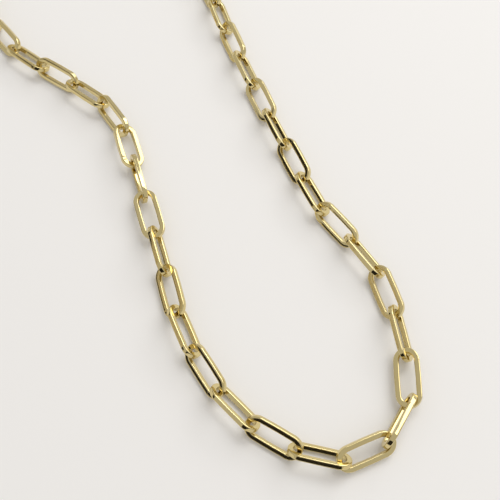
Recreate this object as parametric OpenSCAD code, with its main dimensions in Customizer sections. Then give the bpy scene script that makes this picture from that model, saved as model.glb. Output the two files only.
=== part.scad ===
// Paperclip chain necklace: forty equal oval links of square wire with rounded
// edges, and one clasp, closed into a loop that lies loosely on a flat surface.
// Millimetres, +Z up, with the origin under the middle of the whole chain.

/* [Links] */
// Outside length of a link, end to end
link_length = 12.8; // [11.3:0.1:15.8]
// Outside width of a link
link_width = 5.5; // [5.3:0.1:6.4]
// Thickness of the wire of a link, from flat to flat
link_wire = 1.2; // [1:0.05:1.3]
// Radius of the rounded edges of that wire
link_edge = 0.35; // [0.25:0.05:0.4]
// Slack between two linked bows, measured along the chain
link_play = 0.7; // [0.6:0.05:1.1]

/* [Clasp] */
// Clear width of the clasp's hook opening
hook_gap = 3; // [2.8:0.1:3.8]
// Diameter of the clasp's wire round the hook opening
hook_wire = 1.3; // [1.1:0.05:1.6]
// Bore of the eye at the back of the clasp
eye_bore = 2.7; // [2.5:0.1:3.4]
// Diameter of the wire of the eye
eye_wire = 1; // [0.8:0.05:1.3]
// Diameter of the ball at the end of the thumb lever
lever_ball = 1.5; // [1:0.1:2]
// Length of the thumb lever, from the clasp's wire to the ball
lever_length = 1.7; // [1.2:0.1:2.4]

/* [Hidden] */
link_count = 40;
pieces = link_count + 1;
function link_name(i) = str("link_", i < 10 ? "0" : "", i);
gold = [0.84, 0.73, 0.44];
$fn = 48;

// The route of the chain, seen from above, in rows of [x, y, twist]. It starts at
// the clasp, comes down the left side, turns at the bottom and goes back up the
// right side. x and y are in millimetres and keep their proportions when a link
// changes. The twist is how far the chain has turned about its own length there,
// in degrees.
route = [
    [-38, 74, -15],
    [-52, 62, 35],
    [-54, 43, 45],
    [-46, 27, 40],
    [-35, 18, 60],
    [-14, 4, 60],
    [-5, -16, 80],
    [1, -32, 115],
    [9, -53, 135],
    [22, -69, 135],
    [40, -76, 135],
    [53, -68, 100],
    [54, -52, 52],
    [48, -33, 50],
    [38, -22, 35],
    [28, -3, 50],
    [20, 14, 50],
    [12, 32, 35],
    [6, 47, 40],
    [-4, 64, 45],
    [-20, 74, 45]
];
rows = len(route);
// Straight steps that the curve takes between two rows
steps = 16;

// Links: centre line of a bow, length of a straight side, and the distance from
// one link's middle to the next
link_radius = (link_width - link_wire) / 2;
link_straight = link_length - link_width;
pitch = link_length - 2 * link_wire - link_play;
// How far the square wire reaches from its centre line in some direction, which
// has one part in the link's plane and one part off it
wire_core = link_wire - 2 * link_edge;
function wire_reach(in_plane, off_plane) =
    wire_core / 2 * (abs(in_plane) + abs(off_plane)) + link_edge;
// Every piece ends the same way for its neighbours: half its clear inside length
inner_end = (pitch + link_play) / 2;

// Clasp: centres of the eye and of the two bows of the hook opening, along the
// chain from the clasp's middle. A thin wall parts the hook's wire from the bore.
neck_wall = 0.2;
eye_radius = (eye_bore + eye_wire) / 2;
eye_x = eye_bore / 2 - inner_end;
hook_radius = (hook_gap + hook_wire) / 2;
hook_near_x = eye_x + eye_bore / 2 + neck_wall + hook_wire / 2 + hook_radius;
hook_far_x = inner_end - hook_gap / 2;
// Thumb lever: a thin stem with a ball on its end, which stands out of the hook's
// near bow at this angle from the chain's length
lever_stem = 0.7 * lever_ball;
lever_turn = 120;

// A smooth closed curve through the rows
function row_at(k) = route[(k + rows) % rows];
function point_at(k) = [row_at(k)[0], row_at(k)[1]];
function blend(a, b, c, d, t) =
    (2 * b + (c - a) * t + (2 * a - 5 * b + 4 * c - d) * t ^ 2
        + (3 * b - a - 3 * c + d) * t ^ 3) / 2;
track = [
    for (k = [0:rows - 1], j = [0:steps - 1])
        blend(point_at(k - 1), point_at(k), point_at(k + 1), point_at(k + 2), j / steps)
];
function track_at(i) = track[i % len(track)];
run = [
    for (i = 0, s = 0; i <= len(track); s = s + norm(track_at(i + 1) - track_at(i)), i = i + 1) s
];

// The curve is stretched until the pieces, each one pitch long, just fill it
loop_length = pieces * pitch;
stretch = loop_length / run[len(track)];
x_along = [for (i = [0:len(track)]) [run[i], track_at(i)[0]] * stretch];
y_along = [for (i = [0:len(track)]) [run[i], track_at(i)[1]] * stretch];
// An odd number of pieces, each a quarter turn from the last, closes with one
// quarter turn more
closing_turn = 90;
twist_along = [
    for (k = [0:rows])
        [run[k * steps] * stretch, row_at(k)[2] + (k == rows ? closing_turn : 0)]
];

// Where two pieces meet: joint i lies between piece i - 1 and piece i. Piece 0 is
// the clasp.
function wrapped(s) = s < 0 ? s + loop_length : s;
function meeting_at(s) = [lookup(s, x_along), lookup(s, y_along)];
joints = [for (i = [0:pieces]) meeting_at(wrapped((i - 0.5) * pitch))];
middles = [for (i = [0:pieces - 1]) (joints[i] + joints[i + 1]) / 2];
headings = [
    for (i = [0:pieces - 1])
        atan2(joints[i + 1][1] - joints[i][1], joints[i + 1][0] - joints[i][0])
];

// Lean of each piece about its own length, from -90 to 90 degrees
function nearest_turn(a) = a - 180 * round(a / 180);
leans = [for (i = [0:pieces - 1]) nearest_turn(90 * i + lookup(i * pitch, twist_along))];

// Height of each piece's middle: it rests on its lower side, or hangs a little
// below the mean of its two neighbours where it lies flat between them
hang = 0.25;
function resting(i) =
    i == 0 ? hook_radius * abs(sin(leans[i])) + hook_wire / 2
           : link_radius * abs(sin(leans[i])) + wire_reach(sin(leans[i]), cos(leans[i]));
function neighbour(i) = (i + pieces) % pieces;
heights = [
    for (i = [0:pieces - 1])
        max(resting(i), (resting(neighbour(i - 1)) + resting(neighbour(i + 1))) / 2 - hang)
];

// The bows of a piece, in rows of [distance along it, centre-line radius, round
// wire], give the outline of the chain and so its middle
clasp_bows = [
    [eye_x, eye_radius, eye_wire],
    [hook_near_x, hook_radius, hook_wire],
    [hook_far_x, hook_radius, hook_wire]
];
link_bows = [for (side = [-1, 1]) [side * link_straight / 2, link_radius]];
function along(i, axis) = axis == 0 ? cos(headings[i]) : sin(headings[i]);
function sideways(i, axis) = axis == 0 ? -sin(headings[i]) : cos(headings[i]);
function in_plane(i, axis) = norm([along(i, axis), sideways(i, axis) * cos(leans[i])]);
function off_plane(i, axis) = sideways(i, axis) * sin(leans[i]);
function reach(i, bow, axis) =
    bow[1] * in_plane(i, axis)
        + (i == 0 ? bow[2] / 2 : wire_reach(in_plane(i, axis), off_plane(i, axis)));
function edges(axis, sign) = [
    for (i = [0:pieces - 1], bow = i == 0 ? clasp_bows : link_bows)
        middles[i][axis] + bow[0] * along(i, axis) + sign * reach(i, bow, axis)
];
centre = [for (axis = [0, 1]) (min(edges(axis, -1)) + max(edges(axis, 1))) / 2];

module at_piece(i) {
    translate([middles[i][0] - centre[0], middles[i][1] - centre[1], heights[i]])
        rotate([0, 0, headings[i]])
            rotate([leans[i], 0, 0])
                children();
}

// Square with rounded corners: the section of a link's wire
module wire_section() {
    square([link_wire, wire_core], center = true);
    square([wire_core, link_wire], center = true);
    for (x = [-1, 1], y = [-1, 1])
        translate([x, y] * wire_core / 2)
            circle(r = link_edge);
}

// An oval of wire lying in the XY plane, between two bow centres on X. The child
// is the wire's section.
module wire_oval(from_x, to_x, radius) {
    for (side = [-1, 1]) {
        translate([from_x, side * radius, 0])
            rotate([90, 0, 90])
                linear_extrude(to_x - from_x)
                    children();
        translate([side < 0 ? from_x : to_x, 0, 0])
            rotate([0, 0, -90 * side])
                rotate_extrude(angle = 180)
                    translate([radius, 0])
                        children();
    }
}

module link(i) {
    color(gold)
        at_piece(i)
            wire_oval(-link_straight / 2, link_straight / 2, link_radius)
                wire_section();
}

module clasp_eye() {
    translate([eye_x, 0, 0])
        rotate_extrude()
            translate([eye_radius, 0])
                circle(d = eye_wire);
}

module thumb_lever() {
    translate([hook_near_x, 0, 0])
        rotate([0, 0, lever_turn])
            translate([hook_radius, 0, 0]) {
                rotate([0, 90, 0])
                    cylinder(d = lever_stem, h = lever_length);
                translate([lever_length, 0, 0])
                    sphere(d = lever_ball);
            }
}

module clasp() {
    color(gold)
        at_piece(0) {
            wire_oval(hook_near_x, hook_far_x, hook_radius)
                circle(d = hook_wire);
            clasp_eye();
            thumb_lever();
        }
}

clasp();
for (i = [1:link_count])
    link(i);
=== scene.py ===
import math
import random

import bpy
from mathutils import Matrix, Vector, noise


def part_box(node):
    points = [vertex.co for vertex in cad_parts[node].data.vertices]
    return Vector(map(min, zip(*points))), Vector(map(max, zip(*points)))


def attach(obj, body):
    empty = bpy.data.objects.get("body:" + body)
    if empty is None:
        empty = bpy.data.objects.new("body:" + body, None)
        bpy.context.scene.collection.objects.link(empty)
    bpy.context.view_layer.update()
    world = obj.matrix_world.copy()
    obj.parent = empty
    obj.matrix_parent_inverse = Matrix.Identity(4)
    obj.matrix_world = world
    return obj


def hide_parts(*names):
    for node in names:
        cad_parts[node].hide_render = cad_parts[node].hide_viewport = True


# Looks of a gold paperclip chain that lies in a loose loop. Every link of the frame
# is dressed as a bent and soldered length of polished wire. The clasp keeps its solid
# and takes the same gold. Lengths are in metres.

MM = 0.001
UP = Vector((0, 0, 1))
SEED = 7
random.seed(SEED)

# The wire of a link: square with rounded edges, its flats rolled a trace deeper than
# the solid's and slightly crowned, and how finely it is swept
EDGE_RADIUS = 0.22 * MM
ROLLED = 0.042 * MM
CROWN = 0.006 * MM
EDGE_STEPS = 6
FLAT_STEPS = 6
BOW_STEPS = 32
SIDE_STEPS = 24

# The bows of a bent link are a little longer than half circles, and its sides swell a
# little outwards
BOW_REACH = 1.05
SIDE_SWELL = 0.05 * MM

# The solder seam at the start of one bow: a low swelling with a hairline in it
SEAM_AT = 0.35 * MM
SEAM_SWELL = 0.03 * MM
SEAM_WIDTH = 0.42 * MM
SEAM_REACH = 4 * SEAM_WIDTH
SEAM_GROOVE = 0.08 * MM
GROOVE_WIDTH = 0.11 * MM

# Slow waves of the wire's surface. The spread says how much they differ round the
# wire, and the shift how many wave lengths the waves of a link may be moved.
WAVE_DEPTH = 0.004 * MM
WAVE_LENGTH = 3.2 * MM
WAVE_SPREAD = 0.4
WAVE_SHIFT = 50

# Worn places inside the bows, where links rub. The powers say how fast the wear fades
# along the bow and round the wire.
RUB_DEPTH = 0.02 * MM
RUB_ALONG = 4
RUB_ROUND = 6

# Finding a link's axes: rounds of the search, and how far the first guess for its
# width is tipped up. A width that points left by less than UPRIGHT is turned up.
AXIS_ROUNDS = 60
TIP_UP = 0.3
UPRIGHT = 0.02

# Gold: noise scales per metre, roughness from polished to dull, and the relief
CLOUDS = 90.0
DULL_PATCHES = 420.0
RIPPLES = 900.0
HAIRLINES = 6000.0
POLISHED = 0.03
DULL = 0.1
HAIRLINE_SHARE = 0.12
RELIEF_STRENGTH = 0.12
RELIEF_DEPTH = 0.02 * MM
# Most values of a noise lie between these two
NOISE_LOW = 0.3
NOISE_HIGH = 0.7

# Camera of the photo, looking along +Y and down on the chain
CAMERA_AT = Vector((20.6, -105.6, 149)) * MM
CAMERA_DOWN = math.radians(63)
CAMERA_ROLL = math.radians(3)
LENS = 54
NEAR_CLIP = 5 * MM

# Softboxes, as (name, place, size, power, colour): a large one behind on the right, a
# small high one behind and a low one behind on the right. All face the chain.
SOFTBOXES = [
    ("key_softbox", (0.6, 0.5, 0.76), 0.95, 5.8, (1.0, 0.985, 0.965)),
    ("top_softbox", (0.114, 0.538, 0.953), 0.32, 0.95, (0.94, 0.97, 1.0)),
    ("back_softbox", (0.53, 0.82, 0.3), 0.5, 1.0, (0.86, 0.94, 1.0)),
]
WORLD_LIGHT = 0.58
FLOOR_HALF = 2.0

# Polished wire shows its dark bands where it mirrors a dark screen round the front and
# the dark cards that stand close to the chain on the left. The screen's top edge is
# given as (degrees round from +X, height).
SCREEN_RADIUS = 0.9
SCREEN_EDGE = [(237, 0.0), (241, 0.6), (272, 0.7), (292, 0.3)]
# The cards stand at this X. Their corners are (Y, Z) in millimetres.
CARDS_AT = -100 * MM
CARDS = [
    [(-45, 10), (2, 10), (2, 36), (-45, 36)],
    [(-16, 40), (18, 40), (33, 50), (33, 74), (2, 74), (-16, 60)],
    [(-118, 3), (-80, 3), (-80, 29), (-118, 29)],
]
# A brown board stands behind the cards, with its corners given in the same way
BOARD_AT = -104 * MM
BOARD = [(-76, 6), (12, 6), (12, 92), (-76, 92)]

FLOOR_ROUGHNESS = 0.8
SCREEN_ROUGHNESS = 0.9
FLOOR_COLOUR = (0.915, 0.90, 0.88, 1)
WORLD_COLOUR = (1.0, 0.98, 0.955, 1)
SCREEN_COLOUR = (0.012, 0.009, 0.006, 1)
BOARD_COLOUR = (0.52, 0.47, 0.38, 1)
GOLD_PALE = (0.79, 0.675, 0.37, 1)
GOLD_DEEP = (0.67, 0.54, 0.235, 1)


def add_mesh(name, vertices, faces):
    mesh = bpy.data.meshes.new(name)
    mesh.from_pydata(vertices, [], faces)
    mesh.validate()
    for polygon in mesh.polygons:
        polygon.use_smooth = True
    thing = bpy.data.objects.new(name, mesh)
    bpy.context.scene.collection.objects.link(thing)
    return thing


# Materials

def new_material(name):
    material = bpy.data.materials.new(name)
    material.use_nodes = True
    nodes = material.node_tree.nodes
    return material, nodes, material.node_tree.links, nodes["Principled BSDF"]


def noise_node(nodes, links, vector, scale, detail=2.0):
    node = nodes.new("ShaderNodeTexNoise")
    node.inputs["Scale"].default_value = scale
    node.inputs["Detail"].default_value = detail
    links.new(vector, node.inputs["Vector"])
    return node


def ramp_node(nodes, links, factor, low, high):
    node = nodes.new("ShaderNodeMapRange")
    node.inputs["From Min"].default_value = NOISE_LOW
    node.inputs["From Max"].default_value = NOISE_HIGH
    node.inputs["To Min"].default_value = low
    node.inputs["To Max"].default_value = high
    links.new(factor, node.inputs["Value"])
    return node


def polished_gold():
    """Bright pale gold plate: two close tones in clouds, a few duller patches, and
    the faint ripples and hairlines of polished metal."""
    material, nodes, links, shader = new_material("polished_gold")
    shader.inputs["Metallic"].default_value = 1.0
    place = nodes.new("ShaderNodeTexCoord").outputs["Object"]

    clouds = noise_node(nodes, links, place, CLOUDS)
    tone = nodes.new("ShaderNodeMix")
    tone.data_type = "RGBA"
    tone.inputs["A"].default_value = GOLD_PALE
    tone.inputs["B"].default_value = GOLD_DEEP
    links.new(clouds.outputs["Fac"], tone.inputs["Factor"])
    links.new(tone.outputs["Result"], shader.inputs["Base Color"])

    dull = noise_node(nodes, links, place, DULL_PATCHES, detail=3.0)
    roughness = ramp_node(nodes, links, dull.outputs["Fac"], POLISHED, DULL)
    links.new(roughness.outputs["Result"], shader.inputs["Roughness"])

    ripples = noise_node(nodes, links, place, RIPPLES)
    hairlines = noise_node(nodes, links, place, HAIRLINES)
    both = nodes.new("ShaderNodeMath")
    both.operation = "MULTIPLY_ADD"
    both.inputs[1].default_value = HAIRLINE_SHARE
    links.new(hairlines.outputs["Fac"], both.inputs[0])
    links.new(ripples.outputs["Fac"], both.inputs[2])
    bump = nodes.new("ShaderNodeBump")
    bump.inputs["Strength"].default_value = RELIEF_STRENGTH
    bump.inputs["Distance"].default_value = RELIEF_DEPTH
    links.new(both.outputs["Value"], bump.inputs["Height"])
    links.new(bump.outputs["Normal"], shader.inputs["Normal"])
    return material


def plain(name, colour, roughness):
    material, _, _, shader = new_material(name)
    shader.inputs["Base Color"].default_value = colour
    shader.inputs["Roughness"].default_value = roughness
    return material


# Places of the links

def middle_of(name):
    low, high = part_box(name)
    return (low + high) / 2


def long_axis(points, start):
    """Direction of the greatest spread of points about their middle, by repeated
    multiplication from a first guess."""
    direction = start.normalized()
    for _ in range(AXIS_ROUNDS):
        total = Vector((0, 0, 0))
        for p in points:
            total += p * p.dot(direction)
        direction = total.normalized()
    return direction


def link_place(node, ahead):
    """Where a link lies: X along the chain, Y across the link to the left of the
    chain's travel, Z off the link's plane. Also its half sizes."""
    middle = middle_of(node.name)
    points = [v.co - middle for v in node.data.vertices]
    along = long_axis(points, ahead)
    flat = [p - along * p.dot(along) for p in points]
    left = UP.cross(along)
    across = long_axis(flat, left + UP * TIP_UP)
    leftward = across.dot(left)
    if leftward < 0 or (leftward < UPRIGHT and across.z < 0):
        across = -across
    normal = along.cross(across)
    turn = Matrix((along, across, normal)).transposed().to_4x4()
    halves = [max(abs(p.dot(axis)) for p in points) for axis in (along, across, normal)]
    return Matrix.Translation(middle) @ turn, halves


# Sweeping wire

def bell(distance, width):
    return math.exp(-((distance / width) ** 2))


def oval_path(half_straight, radius):
    """Points round an oval in the XY plane, each with its outward direction. The
    bows are half ellipses, whose ends are where half circles would end, and the
    sides swell between them."""
    reach = BOW_REACH * radius
    bow_start = half_straight + radius - reach
    narrow = radius - SIDE_SWELL
    path = []
    for side in (1, -1):
        for k in range(BOW_STEPS):
            a = math.pi / 2 - math.pi * (k + 0.5) / BOW_STEPS
            bow = Vector((bow_start + reach * math.cos(a), narrow * math.sin(a), 0))
            out = Vector((narrow * math.cos(a), reach * math.sin(a), 0)).normalized()
            path.append((side * bow, side * out))
        for k in range(SIDE_STEPS + 1):
            share = 1 - 2 * k / SIDE_STEPS
            width = narrow + SIDE_SWELL * (1 - share ** 2) ** 2
            path.append((side * Vector((bow_start * share, -width, 0)), Vector((0, -side, 0))))
    return path


def section_of(half):
    """Points round the wire's section, as (across the wire in the link's plane, off
    that plane, angle that the surface faces there)."""
    core = half - EDGE_RADIUS
    points = []
    for quarter in range(4):
        start = quarter * math.pi / 2
        middle = start + math.pi / 4
        corner = Vector((math.cos(middle), math.sin(middle))) * core * math.sqrt(2)
        for k in range(EDGE_STEPS + 1):
            face = start + math.pi / 2 * k / EDGE_STEPS
            points.append((corner.x + EDGE_RADIUS * math.cos(face),
                           corner.y + EDGE_RADIUS * math.sin(face), face))
        across, off, face = points[-1]
        for k in range(1, FLAT_STEPS):
            slide = 2 * core * k / FLAT_STEPS
            rise = CROWN * (1 - (2 * k / FLAT_STEPS - 1) ** 2)
            points.append((across - slide * math.sin(face) + rise * math.cos(face),
                           off + slide * math.cos(face) + rise * math.sin(face), face))
    return points


def sweep(name, path, half, swell_at):
    """A closed bar of the wire's section round path. swell_at(centre, outward, face)
    says how far the surface moves outwards."""
    points = section_of(half)
    vertices = []
    faces = []
    for centre, out in path:
        for across, off, face in points:
            outward = out * math.cos(face) + UP * math.sin(face)
            swell = swell_at(centre, outward, face)
            vertices.append(centre + out * across + UP * off + outward * swell)
    rows, sides = len(path), len(points)
    for i in range(rows):
        for j in range(sides):
            a = i * sides + j
            b = i * sides + (j + 1) % sides
            c = (i + 1) % rows * sides + (j + 1) % sides
            d = (i + 1) % rows * sides + j
            faces.append((a, d, c, b))
    return add_mesh(name, vertices, faces)


def dressed_link(node, ahead, gold):
    """The wire of one link, with its solder seam, its waves and its worn places. ahead
    is the way that the chain runs there."""
    place, (half_length, half_width, half) = link_place(node, ahead)
    radius = half_width - half
    half_straight = half_length - half_width
    half -= ROLLED
    seam = half_straight + SEAM_AT
    phase = Vector([random.uniform(-WAVE_SHIFT, WAVE_SHIFT) for _ in range(3)])

    def swell_at(centre, outward, face):
        swell = WAVE_DEPTH * noise.noise(centre / WAVE_LENGTH + outward * WAVE_SPREAD + phase)
        from_seam = centre.x - seam
        if centre.y < 0 and abs(from_seam) < SEAM_REACH:
            swell += SEAM_SWELL * bell(from_seam, SEAM_WIDTH)
            swell -= SEAM_GROOVE * bell(from_seam, GROOVE_WIDTH)
        if abs(centre.x) > half_straight:
            bow = (abs(centre.x) - half_straight) / radius
            inward = max(0.0, -math.cos(face))
            swell -= RUB_DEPTH * bow ** RUB_ALONG * inward ** RUB_ROUND
        return swell

    thing = sweep(node.name + "_wire", oval_path(half_straight, radius), half, swell_at)
    thing.data.transform(place)
    thing.data.materials.append(gold)
    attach(thing, "root")
    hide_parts(node.name)


# Studio

def softbox(name, place, size, power, colour):
    light = bpy.data.lights.new(name, "AREA")
    light.shape = "SQUARE"
    light.size = size
    light.energy = power
    light.color = colour
    thing = bpy.data.objects.new(name, light)
    at = Vector(place)
    thing.location = at
    thing.rotation_euler = (-at).to_track_quat("-Z", "Y").to_euler()
    bpy.context.scene.collection.objects.link(thing)


def floor():
    h = FLOOR_HALF
    thing = add_mesh("floor", [(-h, -h, 0), (h, -h, 0), (h, h, 0), (-h, h, 0)], [(0, 1, 2, 3)])
    thing.data.materials.append(plain("pale_floor", FLOOR_COLOUR, FLOOR_ROUGHNESS))


def backdrop(name, vertices, faces, material):
    """Something that only mirrors see: it neither shows nor dims the light."""
    thing = add_mesh(name, vertices, faces)
    thing.data.materials.append(material)
    thing.visible_camera = False
    thing.visible_diffuse = False
    thing.visible_shadow = False


def dark_screens():
    vertices = []
    for degrees, top in SCREEN_EDGE:
        a = math.radians(degrees)
        for z in (0.0, top):
            vertices.append((SCREEN_RADIUS * math.cos(a), SCREEN_RADIUS * math.sin(a), z))
    faces = [(2 * k, 2 * k + 2, 2 * k + 3, 2 * k + 1) for k in range(len(SCREEN_EDGE) - 1)]
    for card in CARDS:
        first = len(vertices)
        vertices += [(CARDS_AT, y * MM, z * MM) for y, z in card]
        faces.append(tuple(range(first, len(vertices))))
    cloth = plain("dark_cloth", SCREEN_COLOUR, SCREEN_ROUGHNESS)
    backdrop("dark_screens", vertices, faces, cloth)


def brown_board():
    corners = [(BOARD_AT, y * MM, z * MM) for y, z in BOARD]
    board = plain("board", BOARD_COLOUR, SCREEN_ROUGHNESS)
    backdrop("brown_board", corners, [(0, 1, 2, 3)], board)


def studio():
    floor()
    dark_screens()
    brown_board()
    for name, place, size, power, colour in SOFTBOXES:
        softbox(name, place, size, power, colour)
    world = bpy.data.worlds.new("studio")
    world.use_nodes = True
    background = world.node_tree.nodes["Background"]
    background.inputs["Color"].default_value = WORLD_COLOUR
    background.inputs["Strength"].default_value = WORLD_LIGHT
    bpy.context.scene.world = world
    bpy.context.scene.view_settings.view_transform = "Standard"


def camera():
    data = bpy.data.cameras.new("camera")
    data.lens = LENS
    data.clip_start = NEAR_CLIP
    thing = bpy.data.objects.new("camera", data)
    forward = Vector((0, math.cos(CAMERA_DOWN), -math.sin(CAMERA_DOWN)))
    level_up = Vector((0, math.sin(CAMERA_DOWN), math.cos(CAMERA_DOWN)))
    level_right = Vector((1, 0, 0))
    right = level_right * math.cos(CAMERA_ROLL) + level_up * math.sin(CAMERA_ROLL)
    up = level_up * math.cos(CAMERA_ROLL) - level_right * math.sin(CAMERA_ROLL)
    turn = Matrix((right, up, -forward)).transposed().to_4x4()
    thing.matrix_world = Matrix.Translation(CAMERA_AT) @ turn
    bpy.context.scene.collection.objects.link(thing)
    bpy.context.scene.camera = thing


def dress_chain(nodes, gold):
    links = sorted(name for name in nodes if name.startswith("link_"))
    for i, name in enumerate(links):
        before = middle_of(links[max(i - 1, 0)])
        after = middle_of(links[min(i + 1, len(links) - 1)])
        dressed_link(nodes[name], after - before, gold)
    clasp = nodes["clasp"].data
    clasp.materials.clear()
    clasp.materials.append(gold)


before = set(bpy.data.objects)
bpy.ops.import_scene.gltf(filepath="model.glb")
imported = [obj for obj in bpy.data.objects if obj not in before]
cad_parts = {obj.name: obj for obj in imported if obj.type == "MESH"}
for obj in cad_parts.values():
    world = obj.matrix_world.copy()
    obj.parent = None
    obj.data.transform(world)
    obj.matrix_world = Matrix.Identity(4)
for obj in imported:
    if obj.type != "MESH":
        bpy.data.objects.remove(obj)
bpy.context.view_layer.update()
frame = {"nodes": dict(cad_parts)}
camera()
studio()
dress_chain(frame["nodes"], polished_gold())
